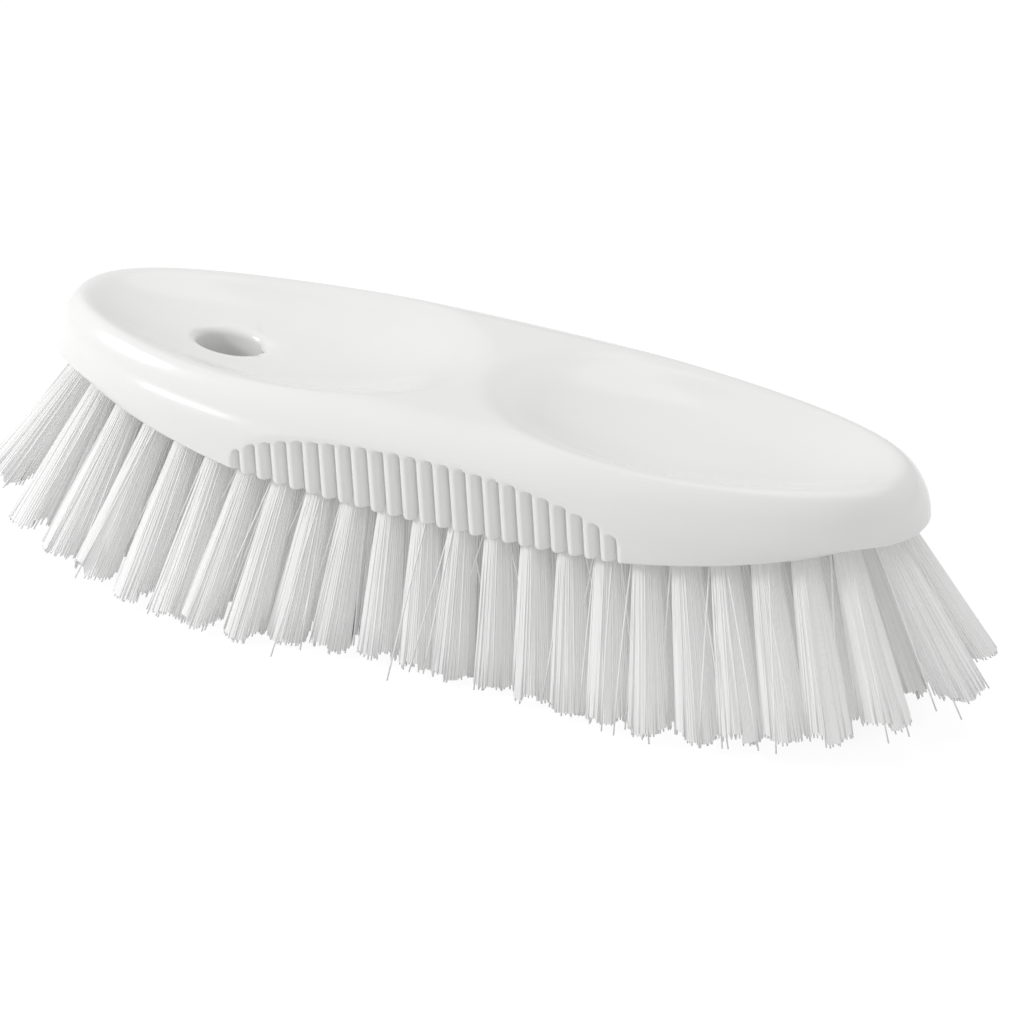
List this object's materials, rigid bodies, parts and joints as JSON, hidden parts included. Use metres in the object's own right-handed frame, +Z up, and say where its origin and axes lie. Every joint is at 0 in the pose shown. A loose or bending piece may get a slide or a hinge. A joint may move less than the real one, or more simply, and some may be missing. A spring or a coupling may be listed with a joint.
{
  "type": "churn brush",
  "caption": "Long oval scrubbing brush: a dished plastic block with ribbed finger grips and a hanging hole, filled with tall tufts of stiff bristle that fan out.",
  "frame": {"origin": "middle of the brush, on the plane of the middle bristle tips", "axes": "+X along the brush, away from the end with the hanging hole; +Z up, from the bristle tips to the hand side of the block"},
  "size_m": [0.266, 0.0798, 0.0678],
  "materials": {
    "block": "glossy white moulded plastic",
    "filament": "white plastic filament, satin",
    "anchor": "plain cut strip"
  },
  "bodies": {
    "root": {"block": "block", "tufts_left": "filament", "tufts_right": "filament", "anchor_01": "anchor", "anchor_02": "anchor", "anchor_03": "anchor", "anchor_04": "anchor", "anchor_05": "anchor", "anchor_06": "anchor", "anchor_07": "anchor", "anchor_08": "anchor", "anchor_09": "anchor", "anchor_10": "anchor", "anchor_11": "anchor", "anchor_12": "anchor", "anchor_13": "anchor", "anchor_14": "anchor", "anchor_15": "anchor", "anchor_16": "anchor", "anchor_17": "anchor", "anchor_18": "anchor", "anchor_19": "anchor", "anchor_20": "anchor", "anchor_21": "anchor", "anchor_22": "anchor", "anchor_23": "anchor", "anchor_24": "anchor", "anchor_25": "anchor", "anchor_26": "anchor", "anchor_27": "anchor", "anchor_28": "anchor", "anchor_29": "anchor", "anchor_30": "anchor", "anchor_31": "anchor", "anchor_32": "anchor", "anchor_33": "anchor", "anchor_34": "anchor", "anchor_35": "anchor", "anchor_36": "anchor", "anchor_37": "anchor", "anchor_38": "anchor", "anchor_39": "anchor", "anchor_40": "anchor", "anchor_41": "anchor", "anchor_42": "anchor", "anchor_43": "anchor", "anchor_44": "anchor", "anchor_45": "anchor", "anchor_46": "anchor", "anchor_47": "anchor", "anchor_48": "anchor"}
  },
  "joints": []
}
